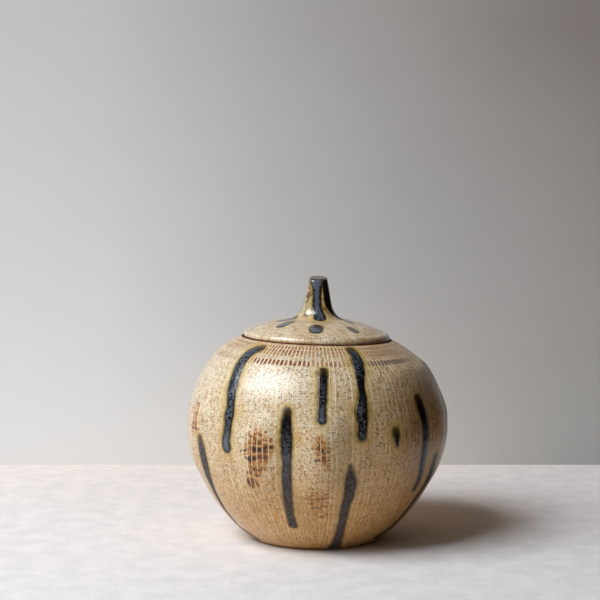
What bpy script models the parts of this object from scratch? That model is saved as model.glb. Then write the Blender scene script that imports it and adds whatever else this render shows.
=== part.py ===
"""Round stoneware jar with a domed lid that ends in a stem, like a small gourd.

The pot is a thrown globe. Its wall is pushed out from inside into a ring of soft bulges, so the
inner surface follows the outer one. A shallow seat round the mouth takes the lid's rim, and a
flange below the lid finds the mouth. The mouth leans a little, and the lid leans with it.

The model stands on its foot ring at z = 0, with its axis on Z and its front towards -Y.
"""

import math

import bmesh
import bpy

# Driving dimensions in metres, and angles in degrees.

# The pot's outside
pot_height = 0.1503
belly_radius = 0.0962
belly_height = 0.0816
foot_radius = 0.0500
lower_roundness = 1.78
upper_roundness = 2.55

# The pot's clay
wall_thickness = 0.0060
floor_thickness = 0.0085
inside_roundness = 2.4

# The foot ring
foot_ring_width = 0.0070
foot_recess_depth = 0.0025
foot_edge_round = 0.0016

# The mouth, its seat for the lid and the lip round the seat
seat_depth = 0.0016
seat_width = 0.0089
seat_thickness = 0.0060
lip_width = 0.0014
mouth_edge_round = 0.0012
mouth_lean = 1.8

# The bulges pushed out of the wall from inside
bulge_push = 0.0050
bulge_width = 0.0440
bulge_length = 0.0860

# The lid
lid_radius = 0.0553
lid_side_clearance = 0.0006
lid_seat_gap = 0.0003
lid_edge_height = 0.0026
lid_edge_width = 0.0028
lid_shoulder_height = 0.0072
lid_shoulder_width = 0.0050
dome_rise = 0.0096
dome_roundness = 2.6
dome_thickness = 0.0056
flange_clearance = 0.0008
flange_thickness = 0.0050
flange_depth = 0.0080
flange_edge_round = 0.0012

# The stem that serves as the lid's knob
stem_height = 0.0312
stem_top_radius = 0.0074
stem_taper = 0.0062
stem_flare = 0.0068
stem_edge_round = 0.0030
stem_top_tilt = 10.0

# Shares of the sizes above, chosen by hand
lean_start_share = 0.86
bulge_flat_share = 0.25
stem_flare_fade_share = 0.09
stem_ridge_share = 0.06
stem_ridge_start_share = 0.45
stem_cut_start_share = 0.70
stem_ridges = 4
stem_ridge_turn = 45.0

# Each bulge: its azimuth in degrees, 0 at the front and growing towards +X, the height of its middle
# as a share of the pot's height, its push as a share of bulge_push and its length as a share of
# bulge_length
bulge_shares = (
    (-154, 0.49, 0.60, 0.95),
    (-124, 0.52, 0.75, 1.00),
    (-96, 0.54, 0.50, 0.85),
    (-70, 0.53, 0.60, 0.90),
    (-26, 0.48, 0.75, 0.90),
    (2, 0.48, 0.85, 0.95),
    (38, 0.50, 0.35, 0.80),
    (71, 0.52, 0.60, 1.00),
    (95, 0.50, 0.85, 1.05),
    (121, 0.52, 0.75, 0.95),
    (149, 0.47, 0.65, 0.90),
    (176, 0.50, 0.85, 1.00),
)

# How finely the round pieces are divided
pot_sides = 72
lid_sides = 56
wall_steps = 11
edge_steps = 3
stem_steps = 12
stem_step_crowding = 1.6
sharp_angle = 50.0
merge_distance = 0.00001

# Sizes that follow from the driving dimensions
seat_height = pot_height - seat_depth
seat_radius = lid_radius + lid_side_clearance
mouth_radius = seat_radius - seat_width
lip_radius = seat_radius + lip_width
inside_top = seat_height - seat_thickness
inside_bottom = foot_recess_depth + floor_thickness
lean_start = pot_height * lean_start_share
lid_bottom = seat_height + lid_seat_gap
flange_radius = mouth_radius - flange_clearance
flange_inner_radius = flange_radius - flange_thickness
dome_edge_radius = lid_radius - lid_shoulder_width
dome_edge_height = lid_bottom + lid_shoulder_height
stem_base_radius = stem_top_radius + stem_taper + stem_flare
stem_base_share = stem_base_radius / dome_edge_radius
stem_base_height = dome_edge_height + dome_rise * (1 - stem_base_share ** dome_roundness)


def clear_scene():
    for thing in list(bpy.data.objects):
        bpy.data.objects.remove(thing, do_unlink=True)


def glaze(name, colour, roughness):
    """A fired glaze of one colour."""
    material = bpy.data.materials.new(name)
    material.use_nodes = True
    shader = material.node_tree.nodes["Principled BSDF"]
    shader.inputs["Base Color"].default_value = colour
    shader.inputs["Roughness"].default_value = roughness
    shader.inputs["Metallic"].default_value = 0.0
    material.diffuse_color = colour
    return material


def full_reach(rise, radius_there, radius, roundness):
    """How far a superellipse rises in all, when it is radius_there wide at the given rise."""
    return rise / (1 - (radius_there / radius) ** roundness) ** (1 / roundness)


def wall_curve(radius, reach, roundness, first_rise, last_rise):
    """Points (radius, rise) of a quarter superellipse, from one rise to another."""
    first_turn = math.asin((first_rise / reach) ** (roundness / 2))
    last_turn = math.asin((last_rise / reach) ** (roundness / 2))
    points = []
    for step in range(wall_steps + 1):
        turn = first_turn + (last_turn - first_turn) * step / wall_steps
        across = radius * max(math.cos(turn), 0) ** (2 / roundness)
        along = reach * max(math.sin(turn), 0) ** (2 / roundness)
        points.append((across, along))
    return points


def rounded(start, corner, end):
    """A corner softened by a quadratic curve that starts and ends on its two sides."""
    points = []
    for step in range(edge_steps + 1):
        share = step / edge_steps
        weights = ((1 - share) ** 2, 2 * share * (1 - share), share ** 2)
        points.append(tuple(
            sum(weight * point[axis] for weight, point in zip(weights, (start, corner, end)))
            for axis in (0, 1)
        ))
    return points


def outside_of_pot():
    """The outer wall from the lip down to the foot, as (radius, height)."""
    upper_rise = pot_height - belly_height
    upper_reach = full_reach(upper_rise, lip_radius, belly_radius, upper_roundness)
    lower_reach = full_reach(belly_height, foot_radius, belly_radius, lower_roundness)
    upper = wall_curve(belly_radius, upper_reach, upper_roundness, upper_rise, 0)
    lower_drop = belly_height - foot_edge_round
    lower = wall_curve(belly_radius, lower_reach, lower_roundness, 0, lower_drop)
    points = [(radius, belly_height + rise) for radius, rise in upper]
    points += [(radius, belly_height - drop) for radius, drop in lower[1:]]
    return points


def inside_of_pot():
    """The inner wall from the middle of the floor up to the flat under the seat."""
    inner_radius = belly_radius - wall_thickness
    upper_rise = pot_height - belly_height
    outer_reach = full_reach(upper_rise, lip_radius, belly_radius, upper_roundness)
    upper_reach = outer_reach - wall_thickness
    lower_reach = belly_height - inside_bottom
    lower = wall_curve(inner_radius, lower_reach, inside_roundness, lower_reach, 0)
    upper = wall_curve(inner_radius, upper_reach, upper_roundness, 0, inside_top - belly_height)
    points = [(radius, belly_height - drop) for radius, drop in lower]
    points += [(radius, belly_height + rise) for radius, rise in upper[1:]]
    return points


def mouth_of_pot():
    """The bore of the mouth, the seat for the lid and the wall of the seat, going up."""
    bore_bottom = rounded(
        (mouth_radius + mouth_edge_round, inside_top),
        (mouth_radius, inside_top),
        (mouth_radius, inside_top + mouth_edge_round),
    )
    bore_top = rounded(
        (mouth_radius, seat_height - mouth_edge_round),
        (mouth_radius, seat_height),
        (mouth_radius + mouth_edge_round, seat_height),
    )
    lip = rounded(
        (seat_radius, pot_height - lip_width / 2),
        (seat_radius, pot_height),
        (seat_radius + lip_width / 2, pot_height),
    )
    return bore_bottom + bore_top + [(seat_radius, seat_height)] + lip


def foot_of_pot():
    """The foot ring's outer edge, its flat, its inner edge and the recess, to the middle."""
    ring_inner_radius = foot_radius - foot_ring_width
    outer_edge = rounded(
        (foot_radius, foot_edge_round / 2),
        (foot_radius, 0),
        (foot_radius - foot_edge_round, 0),
    )
    inner_edge = rounded(
        (ring_inner_radius, 0),
        (ring_inner_radius - foot_recess_depth / 2, 0),
        (ring_inner_radius - foot_recess_depth / 2, foot_recess_depth / 2),
    )
    recess_edge = rounded(
        (ring_inner_radius - foot_recess_depth / 2, foot_recess_depth / 2),
        (ring_inner_radius - foot_recess_depth / 2, foot_recess_depth),
        (ring_inner_radius - foot_recess_depth, foot_recess_depth),
    )
    return outer_edge[1:] + inner_edge + recess_edge[1:] + [(0, foot_recess_depth)]


def dome_height(radius):
    """Height of the lid's domed top, before the stem rises out of it."""
    share = radius / dome_edge_radius
    return dome_edge_height + dome_rise * (1 - share ** dome_roundness)


def underside_of_lid():
    """From the middle of the hollow, down and round the flange to the seat."""
    hollow_edge_height = dome_height(flange_inner_radius) - dome_thickness
    flange_bottom = lid_bottom - flange_depth
    points = []
    for step in range(edge_steps):
        radius = (flange_inner_radius - flange_edge_round) * step / edge_steps
        points.append((radius, dome_height(radius) - dome_thickness))
    points += rounded(
        (flange_inner_radius - flange_edge_round, hollow_edge_height),
        (flange_inner_radius, hollow_edge_height),
        (flange_inner_radius, hollow_edge_height - flange_edge_round),
    )
    points += rounded(
        (flange_inner_radius, flange_bottom + flange_edge_round),
        (flange_inner_radius, flange_bottom),
        (flange_inner_radius + flange_edge_round, flange_bottom),
    )
    points += rounded(
        (flange_radius - flange_edge_round, flange_bottom),
        (flange_radius, flange_bottom),
        (flange_radius, flange_bottom + flange_edge_round),
    )
    return points + [(flange_radius, lid_bottom)]


def rim_of_lid():
    """The fat rounded rim: its under edge, its widest line and the roll up to the dome."""
    widest_height = lid_bottom + lid_edge_height
    under_edge = rounded(
        (lid_radius - lid_edge_width, lid_bottom),
        (lid_radius, lid_bottom),
        (lid_radius, widest_height),
    )
    roll_height = lid_shoulder_height - lid_edge_height
    roll = []
    for step in range(1, 2 * edge_steps + 1):
        turn = math.radians(90) * step / (2 * edge_steps)
        roll.append((
            dome_edge_radius + lid_shoulder_width * math.cos(turn),
            widest_height + roll_height * math.sin(turn),
        ))
    return under_edge + roll


def stem_radius(share):
    """The stem's mean radius at a share of its height."""
    flare = stem_flare * math.exp(-share / stem_flare_fade_share)
    return stem_top_radius + stem_taper * (1 - share) + flare


def top_of_lid():
    """The dome from the rim inwards, the flare out of it and the stem up to its flat top."""
    points = []
    dome_width = dome_edge_radius - stem_base_radius
    for step in range(1, 2 * edge_steps):
        radius = dome_edge_radius - dome_width * step / (2 * edge_steps)
        points.append((radius, dome_height(radius)))
    edge_share = 1 - stem_edge_round / stem_height
    for step in range(stem_steps + 1):
        share = edge_share * (step / stem_steps) ** stem_step_crowding
        points.append((stem_radius(share), stem_base_height + stem_height * share))
    stem_top = stem_base_height + stem_height
    edge_radius = stem_radius(edge_share)
    points += rounded(
        points[-1],
        (edge_radius, stem_top),
        (edge_radius - stem_edge_round, stem_top),
    )[1:]
    return points + [(0, stem_top)]


def smooth_share(value, start, end):
    """0 before start, 1 after end and an even ease between them."""
    share = min(max((value - start) / (end - start), 0), 1)
    return share * share * (3 - 2 * share)


def azimuth_of(point):
    """Azimuth in radians, 0 at the front and growing towards +X."""
    return math.atan2(point.x, -point.y)


def bulge_at(azimuth, height):
    """How far the wall is pushed out at an azimuth and a height."""
    push = 0
    for middle_degrees, height_share, push_share, length_share in bulge_shares:
        turn = azimuth - math.radians(middle_degrees)
        turn = math.atan2(math.sin(turn), math.cos(turn))
        sideways = abs(turn) * belly_radius / (bulge_width / 2)
        upwards = abs(height - height_share * pot_height) / (length_share * bulge_length / 2)
        if sideways < 1 and upwards < 1:
            across = math.cos(math.pi / 2 * sideways) ** 2
            along = 1 - smooth_share(upwards, bulge_flat_share, 1)
            push += bulge_push * push_share * across * along
    return push


def push_out_bulges(mesh):
    """Moves the outer and inner wall outwards together, so the wall keeps its thickness."""
    for vertex in mesh.verts:
        radius = math.hypot(vertex.co.x, vertex.co.y)
        if radius > mouth_radius:
            push = bulge_at(azimuth_of(vertex.co), vertex.co.z)
            vertex.co.xy *= (radius + push) / radius


def pull_stem_ridges(mesh):
    """Gives the stem its four soft ridges, and its top a cut that faces the front a little."""
    for vertex in mesh.verts:
        share = (vertex.co.z - stem_base_height) / stem_height
        fade = smooth_share(share, 0, stem_ridge_start_share)
        turn = azimuth_of(vertex.co) - math.radians(stem_ridge_turn)
        vertex.co.xy *= 1 + stem_ridge_share * fade * math.cos(stem_ridges * turn)
        cut = smooth_share(share, stem_cut_start_share, 1)
        vertex.co.z += vertex.co.y * math.tan(math.radians(stem_top_tilt)) * cut


def lean_pot_mouth(mesh):
    """The mouth sits lower on its +X side, and the lean fades out over the shoulder."""
    slope = math.tan(math.radians(mouth_lean))
    for vertex in mesh.verts:
        vertex.co.z -= vertex.co.x * slope * smooth_share(vertex.co.z, lean_start, inside_top)


def lean_lid(mesh):
    """The lid leans as the mouth does, about the middle of the seat."""
    slope = math.tan(math.radians(mouth_lean))
    for vertex in mesh.verts:
        across = vertex.co.x
        vertex.co.x += (vertex.co.z - seat_height) * slope
        vertex.co.z -= across * slope


def turned(profile, sides):
    """A mesh turned about Z from a profile of (radius, height) points."""
    mesh = bmesh.new()
    corners = [mesh.verts.new((radius, 0, height)) for radius, height in profile]
    edges = [mesh.edges.new(pair) for pair in zip(corners, corners[1:])]
    bmesh.ops.spin(
        mesh,
        geom=corners + edges,
        cent=(0, 0, 0),
        axis=(0, 0, 1),
        angle=math.tau,
        steps=sides,
        use_merge=True,
    )
    bmesh.ops.remove_doubles(mesh, verts=mesh.verts, dist=merge_distance)
    bmesh.ops.recalc_face_normals(mesh, faces=mesh.faces)
    return mesh


def finished(name, mesh, origin_height, material):
    """Turns a mesh into a named object whose origin is on the axis at origin_height."""
    bmesh.ops.translate(mesh, verts=mesh.verts, vec=(0, 0, -origin_height))
    data = bpy.data.meshes.new(name)
    mesh.to_mesh(data)
    mesh.free()
    data.materials.append(material)
    data.shade_smooth()
    data.set_sharp_from_angle(angle=math.radians(sharp_angle))
    piece = bpy.data.objects.new(name, data)
    piece.location = (0, 0, origin_height)
    bpy.context.scene.collection.objects.link(piece)
    return piece


def make_pot():
    profile = inside_of_pot() + mouth_of_pot() + outside_of_pot() + foot_of_pot()
    mesh = turned(profile, pot_sides)
    push_out_bulges(mesh)
    lean_pot_mouth(mesh)
    return finished("pot", mesh, 0, glaze("pot_glaze", (0.62, 0.47, 0.29, 1.0), 0.35))


def make_lid():
    profile = underside_of_lid() + rim_of_lid() + top_of_lid()
    mesh = turned(profile, lid_sides)
    pull_stem_ridges(mesh)
    lean_lid(mesh)
    return finished("lid", mesh, seat_height, glaze("lid_glaze", (0.60, 0.46, 0.28, 1.0), 0.32))


clear_scene()
pot = make_pot()
lid = make_lid()
lid.parent = pot
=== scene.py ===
# %% [markdown]
# # A lidded stoneware jar in Blender
#
# The real jar is two pieces of fired clay: a round pot whose wall was pushed out from inside into
# soft bulges, and a domed lid with a stem for a knob. Both carry a pale ash glaze that was combed
# while the clay was soft, and a dark second glaze that was trailed on and ran down in the kiln.
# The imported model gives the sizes, the joint and a faceted version of both pieces. This lesson
# makes the fine surfaces that stand in for them, and all of their colour.

import math

import bpy
from mathutils import Euler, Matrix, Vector
from mathutils.bvhtree import BVHTree


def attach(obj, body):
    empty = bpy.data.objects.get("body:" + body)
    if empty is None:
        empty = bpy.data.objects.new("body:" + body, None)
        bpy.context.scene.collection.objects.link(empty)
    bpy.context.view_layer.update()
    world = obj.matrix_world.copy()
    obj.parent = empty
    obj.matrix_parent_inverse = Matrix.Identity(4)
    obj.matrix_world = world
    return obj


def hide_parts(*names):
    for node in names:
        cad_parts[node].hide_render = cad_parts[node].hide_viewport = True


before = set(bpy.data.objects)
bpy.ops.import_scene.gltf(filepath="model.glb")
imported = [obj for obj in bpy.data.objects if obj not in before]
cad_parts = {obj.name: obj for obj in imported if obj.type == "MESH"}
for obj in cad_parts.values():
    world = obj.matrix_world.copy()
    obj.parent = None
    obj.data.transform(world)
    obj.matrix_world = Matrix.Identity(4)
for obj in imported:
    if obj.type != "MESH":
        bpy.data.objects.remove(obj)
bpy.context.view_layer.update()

# %% [markdown]
# ## The camera
#
# The jar's outline fixes the camera: the ellipse of the foot and the lip give how far it looks
# down, and how much the lower ellipse is rounder than the upper one gives how close it stands.
# The camera comes first, because the dark runs of glaze are placed by where they are seen: a pixel
# is turned into a ray, and the ray into a point on the clay.

# %% The camera
photo_side = 600
focal_pixels = 1500
camera_distance = 1.125
camera_height = 0.267
camera_pitch = 4.49
axis_pixels_right = 16.6
sensor_width = 36.0


def linked(name, data):
    """Puts new data into the scene as an object."""
    thing = bpy.data.objects.new(name, data)
    bpy.context.scene.collection.objects.link(thing)
    return thing


camera = linked("camera", bpy.data.cameras.new("camera"))
camera.data.sensor_width = sensor_width
camera.data.lens = sensor_width * focal_pixels / photo_side
camera_side = -axis_pixels_right * camera_distance / focal_pixels
camera.location = (camera_side, -camera_distance, camera_height)
camera.rotation_euler = Euler((math.radians(90 - camera_pitch), 0, 0))
bpy.context.scene.camera = camera
print("camera lens", camera.data.lens, "mm, at", tuple(round(v, 3) for v in camera.location))


# %% [markdown]
# ## From a place in the photograph to a place on the clay
#
# A searchable copy of each CAD solid answers where a ray from the camera meets it. At the very
# edge of the outline a ray can pass the clay by, so it is drawn in towards the jar's axis until
# it meets it.

# %% Rays from the camera
edge_step = 0.25


def search_tree(name):
    """A searchable copy of a CAD node's surface."""
    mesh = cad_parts[name].data
    corners = [vertex.co.copy() for vertex in mesh.vertices]
    return BVHTree.FromPolygons(corners, [tuple(face.vertices) for face in mesh.polygons])


def seen_at(tree, across, down):
    """The point of a surface that the photograph shows at a pixel."""
    turn = camera.rotation_euler.to_matrix()
    centre = photo_side / 2
    axis_pixel = centre + axis_pixels_right
    step = edge_step if across < axis_pixel else -edge_step
    while True:
        ray = Vector(((across - centre) / focal_pixels, (centre - down) / focal_pixels, -1))
        place = tree.ray_cast(camera.location, (turn @ ray).normalized())[0]
        if place is not None:
            return place
        across += step


clay = {name: search_tree(name) for name in ("pot", "lid")}
print("front of the belly at", [round(v, 4) for v in seen_at(clay["pot"], 317, 420)])


# %% [markdown]
# ## Node trees that read as formulas
#
# Both kinds of node tree, geometry and shader, do their sums with the same Math node. A small
# class wraps one socket and lets Python's own signs add those nodes, so a pattern can be written
# as it would be on paper. Every other node comes from one method that takes its type, its
# settings and what goes into its sockets.

# %% Sockets as numbers
class Value:
    """One output socket of a node tree, on which sums can be written."""

    def __init__(self, graph, socket):
        self.graph = graph
        self.socket = socket

    def maths(self, operation, *others):
        settings = {"operation": operation}
        return self.graph.node("ShaderNodeMath", settings, dict(enumerate((self, *others))))

    def __add__(self, other):
        return self.maths("ADD", other)

    def __sub__(self, other):
        return self.maths("SUBTRACT", other)

    def __rsub__(self, other):
        return self.graph.number(other).maths("SUBTRACT", self)

    def __mul__(self, other):
        return self.maths("MULTIPLY", other)

    def __truediv__(self, other):
        return self.maths("DIVIDE", other)

    def __pow__(self, other):
        return self.maths("POWER", other)

    def __abs__(self):
        return self.maths("ABSOLUTE")

    def least(self, other):
        return self.maths("MINIMUM", other)

    def most(self, other):
        return self.maths("MAXIMUM", other)

    __radd__ = __add__
    __rmul__ = __mul__


class Graph:
    """A node tree under construction."""

    def __init__(self, tree):
        self.tree = tree

    def number(self, amount):
        """A plain number that can stand on the left of a sum."""
        return Value(self, amount)

    def feed(self, socket, source):
        """Links a value to a socket, or writes a plain number, colour or vector into it."""
        if isinstance(source, Value):
            source = source.socket
        if isinstance(source, bpy.types.NodeSocket):
            self.tree.links.new(source, socket)
        else:
            socket.default_value = source

    def node(self, kind, settings=None, sockets=None, output=0):
        """Adds a node: its settings first, then its sockets. Gives one output as a value."""
        node = self.tree.nodes.new(kind)
        for name, setting in (settings or {}).items():
            setattr(node, name, setting)
        for key, source in (sockets or {}).items():
            self.feed(node.inputs[key], source)
        return Value(self, node.outputs[output]) if output is not None else node

    def ease(self, value, start, end, low=0, high=1):
        """A smooth step from low, where value is start, to high, where it is end."""
        settings = {"interpolation_type": "SMOOTHSTEP"}
        sockets = {0: value, 1: start, 2: end, 3: low, 4: high}
        return self.node("ShaderNodeMapRange", settings, sockets)

    def ramp(self, value, start, end):
        """A straight step from 0, where value is start, to 1, where it is end."""
        return self.node("ShaderNodeMapRange", None, {0: value, 1: start, 2: end})

    def attribute(self, name):
        """A number stored on the mesh, read by a shader."""
        return self.node("ShaderNodeAttribute", {"attribute_name": name}, output="Fac")

    def parts(self, vector):
        """The X, Y and Z of a vector."""
        node = self.node("ShaderNodeSeparateXYZ", None, {0: vector}, None)
        return [Value(self, output) for output in node.outputs]

    def noise(self, place, scale, detail=2.0, roughness=0.5, output="Fac"):
        sockets = {"Vector": place, "Scale": scale, "Detail": detail, "Roughness": roughness}
        return self.node("ShaderNodeTexNoise", None, sockets, output)

    def mix(self, share, first, second, blend="MIX"):
        """A colour between two colours."""
        settings = {"data_type": "RGBA", "blend_type": blend}
        return self.node("ShaderNodeMix", settings, {0: share, 6: first, 7: second}, 2)

    def chance(self, numbers, **sockets):
        """A random number that depends on one or two whole numbers only."""
        return self.node("ShaderNodeTexWhiteNoise", {"noise_dimensions": numbers}, sockets)


print("the helpers for node trees are ready")

# %% [markdown]
# ## The outline of a thrown pot
#
# A thrown pot is a profile turned round an axis. Its outside is two quarter superellipses that
# meet at the belly: one with fairly straight sides down to the foot, and a squarer one up over the
# shoulder to the lip. The sizes are the CAD model's, and the outline is only divided more finely.

# %% Sizes of the jar
pot_height = 0.1503
belly_radius = 0.0962
belly_height = 0.0816
foot_radius = 0.0500
lower_roundness = 1.78
upper_roundness = 2.55
wall_thickness = 0.0060
floor_thickness = 0.0085
inside_roundness = 2.4
foot_ring_width = 0.0070
foot_recess_depth = 0.0025
foot_edge_round = 0.0016
seat_depth = 0.0016
seat_width = 0.0089
seat_thickness = 0.0060
lip_width = 0.0014
mouth_edge_round = 0.0012
mouth_lean = 1.8
lean_start_share = 0.86
lid_radius = 0.0553
lid_side_clearance = 0.0006
lid_seat_gap = 0.0003

seat_height = pot_height - seat_depth
seat_radius = lid_radius + lid_side_clearance
mouth_radius = seat_radius - seat_width
lip_radius = seat_radius + lip_width
inside_top = seat_height - seat_thickness
inside_bottom = foot_recess_depth + floor_thickness
lean_start = pot_height * lean_start_share
lean_slope = math.tan(math.radians(mouth_lean))
mm = 0.001
print("seat at", seat_height, "m, mouth radius", round(mouth_radius, 4), "m")


# %% Curves of the profile
def full_reach(rise, radius_there, radius, roundness):
    """How far a superellipse rises in all, when it is radius_there wide at the given rise."""
    return rise / (1 - (radius_there / radius) ** roundness) ** (1 / roundness)


def wall_curve(radius, reach, roundness, first_rise, last_rise, steps=80):
    """Points (radius, rise) of a quarter superellipse, from one rise to another."""
    first_turn = math.asin((first_rise / reach) ** (roundness / 2))
    last_turn = math.asin((last_rise / reach) ** (roundness / 2))
    points = []
    for step in range(steps + 1):
        turn = first_turn + (last_turn - first_turn) * step / steps
        across = radius * max(math.cos(turn), 0) ** (2 / roundness)
        along = reach * max(math.sin(turn), 0) ** (2 / roundness)
        points.append((across, along))
    return points


def rounded(start, corner, end, steps=4):
    """A corner softened by a quadratic curve that starts and ends on its two sides."""
    points = []
    for step in range(steps + 1):
        share = step / steps
        weights = ((1 - share) ** 2, 2 * share * (1 - share), share ** 2)
        points.append(tuple(
            sum(weight * point[axis] for weight, point in zip(weights, (start, corner, end)))
            for axis in (0, 1)
        ))
    return points


def evenly(points, spacing):
    """The same line through points that are about spacing apart."""
    lengths = [math.dist(a, b) for a, b in zip(points, points[1:])]
    pieces = max(round(sum(lengths) / spacing), 1)
    stride = sum(lengths) / pieces
    result, travelled, index = [points[0]], 0, 0
    for piece in range(1, pieces):
        while travelled + lengths[index] < piece * stride:
            travelled += lengths[index]
            index += 1
        share = (piece * stride - travelled) / lengths[index]
        a, b = points[index], points[index + 1]
        result.append((a[0] + (b[0] - a[0]) * share, a[1] + (b[1] - a[1]) * share))
    return result + [points[-1]]


wall_spacing = 0.0012
inside_spacing = 0.0085


def pot_profile():
    """The pot's sections as lists of (radius, height): inside, mouth, outside and foot."""
    upper_rise = pot_height - belly_height
    upper_reach = full_reach(upper_rise, lip_radius, belly_radius, upper_roundness)
    lower_reach = full_reach(belly_height, foot_radius, belly_radius, lower_roundness)
    inner = belly_radius - wall_thickness
    inner_reach = belly_height - inside_bottom
    floor = wall_curve(inner, inner_reach, inside_roundness, inner_reach, 0)
    under_seat = inside_top - belly_height
    ceiling = wall_curve(inner, upper_reach - wall_thickness, upper_roundness, 0, under_seat)
    inside = [(radius, belly_height - drop) for radius, drop in floor]
    inside += [(radius, belly_height + rise) for radius, rise in ceiling[1:]]
    edge = mouth_edge_round
    half_lip = lip_width / 2
    mouth = rounded((mouth_radius + edge, inside_top), (mouth_radius, inside_top),
                    (mouth_radius, inside_top + edge))
    mouth += rounded((mouth_radius, seat_height - edge), (mouth_radius, seat_height),
                     (mouth_radius + edge, seat_height))
    mouth += [(seat_radius, seat_height)]
    mouth += rounded((seat_radius, pot_height - half_lip), (seat_radius, pot_height),
                     (seat_radius + half_lip, pot_height))
    upper = wall_curve(belly_radius, upper_reach, upper_roundness, upper_rise, 0)
    lower_drop = belly_height - foot_edge_round
    lower = wall_curve(belly_radius, lower_reach, lower_roundness, 0, lower_drop)
    outside = [(radius, belly_height + rise) for radius, rise in upper]
    outside += [(radius, belly_height - drop) for radius, drop in lower[1:]]
    ring_inner = foot_radius - foot_ring_width
    half_recess = foot_recess_depth / 2
    bevel = ring_inner - half_recess
    foot = rounded((foot_radius, foot_edge_round / 2), (foot_radius, 0),
                   (foot_radius - foot_edge_round, 0))
    foot += rounded((ring_inner, 0), (bevel, 0), (bevel, half_recess))
    foot += rounded((bevel, half_recess), (bevel, foot_recess_depth),
                    (ring_inner - foot_recess_depth, foot_recess_depth))[1:]
    foot += [(0, foot_recess_depth)]
    return evenly(inside, inside_spacing), mouth, evenly(outside, wall_spacing), foot


print("pot profile points:", [len(section) for section in pot_profile()])

# %% [markdown]
# ## The lid's outline
#
# The lid is a flat dome with a fat rolled rim. Below it a flange finds the mouth. The stem grows
# out of the dome in a flare that dies away like the skirt of a pulled handle.

# %% The lid's profile
lid_edge_height = 0.0026
lid_edge_width = 0.0028
lid_shoulder_height = 0.0072
lid_shoulder_width = 0.0050
dome_rise = 0.0096
dome_roundness = 2.6
dome_thickness = 0.0056
flange_clearance = 0.0008
flange_thickness = 0.0050
flange_depth = 0.0080
flange_edge_round = 0.0012
stem_height = 0.0312
stem_top_radius = 0.0074
stem_taper = 0.0062
stem_flare = 0.0068
stem_edge_round = 0.0030
stem_top_tilt = 10.0
stem_flare_fade_share = 0.09
stem_ridge_share = 0.06
stem_ridge_start_share = 0.45
stem_cut_start_share = 0.70
stem_ridges = 4
stem_ridge_turn = 45.0

lid_bottom = seat_height + lid_seat_gap
flange_radius = mouth_radius - flange_clearance
flange_inner_radius = flange_radius - flange_thickness
dome_edge_radius = lid_radius - lid_shoulder_width
dome_edge_height = lid_bottom + lid_shoulder_height
stem_base_radius = stem_top_radius + stem_taper + stem_flare
lid_spacing = 0.0010


def dome_height(radius):
    share = radius / dome_edge_radius
    return dome_edge_height + dome_rise * (1 - share ** dome_roundness)


def stem_radius(share):
    flare = stem_flare * math.exp(-share / stem_flare_fade_share)
    return stem_top_radius + stem_taper * (1 - share) + flare


stem_base_height = dome_height(stem_base_radius)


def lid_profile():
    """The lid's sections as lists of (radius, height): underside, rim and top."""
    hollow_edge = flange_inner_radius - flange_edge_round
    hollow = [(hollow_edge * step / 12, dome_height(hollow_edge * step / 12) - dome_thickness)
              for step in range(12)]
    hollow_height = dome_height(flange_inner_radius) - dome_thickness
    flange_bottom = lid_bottom - flange_depth
    edge = flange_edge_round
    underside = hollow + rounded((hollow_edge, hollow_height), (flange_inner_radius, hollow_height),
                                 (flange_inner_radius, hollow_height - edge))
    underside += rounded((flange_inner_radius, flange_bottom + edge),
                         (flange_inner_radius, flange_bottom),
                         (flange_inner_radius + edge, flange_bottom))
    underside += rounded((flange_radius - edge, flange_bottom), (flange_radius, flange_bottom),
                         (flange_radius, flange_bottom + edge))
    underside += [(flange_radius, lid_bottom)]
    widest = lid_bottom + lid_edge_height
    rim = rounded((lid_radius - lid_edge_width, lid_bottom), (lid_radius, lid_bottom),
                  (lid_radius, widest), steps=6)
    for step in range(1, 9):
        turn = math.radians(90) * step / 8
        rim.append((
            dome_edge_radius + lid_shoulder_width * math.cos(turn),
            widest + (lid_shoulder_height - lid_edge_height) * math.sin(turn),
        ))
    dome_width = dome_edge_radius - stem_base_radius
    dome = [dome_edge_radius - dome_width * step / 40 for step in range(41)]
    top = [(radius, dome_height(radius)) for radius in dome]
    edge_share = 1 - stem_edge_round / stem_height
    for step in range(1, 121):
        share = edge_share * (step / 120) ** 1.6
        top.append((stem_radius(share), stem_base_height + stem_height * share))
    stem_top = stem_base_height + stem_height
    edge_radius = stem_radius(edge_share)
    top += rounded(top[-1], (edge_radius, stem_top), (edge_radius - stem_edge_round, stem_top))[1:]
    top += [(0, stem_top)]
    return underside, rim, evenly(top, lid_spacing)


print("lid profile points:", [len(section) for section in lid_profile()])


# %% [markdown]
# ## A profile as an object
#
# The profile becomes a mesh of one open line. Each point also stores how far it lies from the
# lip or the rim, measured along the clay, because rings left by a comb follow that length and
# not the height, and whether it is outside and glazed.

# %% From profile to line
def line_object(name, points, edges, columns):
    """Open lines with columns of named numbers on their points."""
    mesh = bpy.data.meshes.new(name)
    mesh.from_pydata(points, edges, [])
    for label, column in columns.items():
        mesh.attributes.new(label, "FLOAT", "POINT").data.foreach_set("value", column)
    return linked(name, mesh)


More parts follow.
